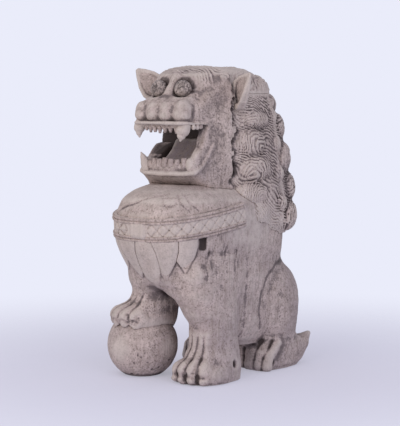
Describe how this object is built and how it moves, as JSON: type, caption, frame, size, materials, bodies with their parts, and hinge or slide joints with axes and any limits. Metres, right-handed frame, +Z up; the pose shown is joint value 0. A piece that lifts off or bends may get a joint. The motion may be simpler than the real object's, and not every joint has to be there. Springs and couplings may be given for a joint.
{
  "type": "guardian lion figurine",
  "caption": "Seated guardian lion in limewashed carved wood, open-mouthed, with a curled mane, a collar with a petal bib and one forepaw raised on a ball; an ornament that stands on its base.",
  "frame": {"origin": "on the floor, at the middle of the bounding box's footprint", "axes": "+Z up; the lion looks along -Y and its own left side is +X"},
  "size_m": [0.1456, 0.215, 0.3],
  "materials": {
    "limewashed_wood": "carved softwood under a worn pale limewash, with grey dirt left in the cuts",
    "tongue_wood": "carved softwood, smoother and darker, stained grey",
    "eye_paint": "turned wood with a worn dark semi-gloss paint",
    "dowel_wood": "bare turned wood, hidden in the joints"
  },
  "bodies": {
    "root": {"torso": "limewashed_wood", "tail": "limewashed_wood", "mane_left_front": "limewashed_wood", "mane_left_back": "limewashed_wood", "mane_back": "limewashed_wood", "mane_right_back": "limewashed_wood", "mane_right_front": "limewashed_wood", "mane_crown": "limewashed_wood", "head": "limewashed_wood", "lower_jaw": "limewashed_wood", "upper_teeth": "limewashed_wood", "lower_teeth": "limewashed_wood", "upper_fang_left": "limewashed_wood", "upper_fang_right": "limewashed_wood", "lower_fang_left": "limewashed_wood", "lower_fang_right": "limewashed_wood", "ear_left": "limewashed_wood", "ear_right": "limewashed_wood", "collar_band": "limewashed_wood", "collar_rosette": "limewashed_wood", "bib_petal_middle": "limewashed_wood", "bib_petal_left_inner": "limewashed_wood", "bib_petal_right_inner": "limewashed_wood", "bib_petal_left_outer": "limewashed_wood", "bib_petal_right_outer": "limewashed_wood", "foreleg_left": "limewashed_wood", "foreleg_right": "limewashed_wood", "ball": "limewashed_wood", "haunch_left": "limewashed_wood", "haunch_right": "limewashed_wood", "hind_foot_left": "limewashed_wood", "hind_foot_right": "limewashed_wood", "tongue": "tongue_wood", "eye_left": "eye_paint", "eye_right": "eye_paint", "neck_core": "dowel_wood", "head_dowel": "dowel_wood", "jaw_dowel": "dowel_wood", "tail_dowel": "dowel_wood", "ball_dowel": "dowel_wood", "ear_dowel_left": "dowel_wood", "ear_dowel_right": "dowel_wood", "shoulder_dowel_left": "dowel_wood", "shoulder_dowel_right": "dowel_wood", "hip_dowel_left": "dowel_wood", "hip_dowel_right": "dowel_wood", "ankle_dowel_left": "dowel_wood", "ankle_dowel_right": "dowel_wood"}
  },
  "joints": []
}
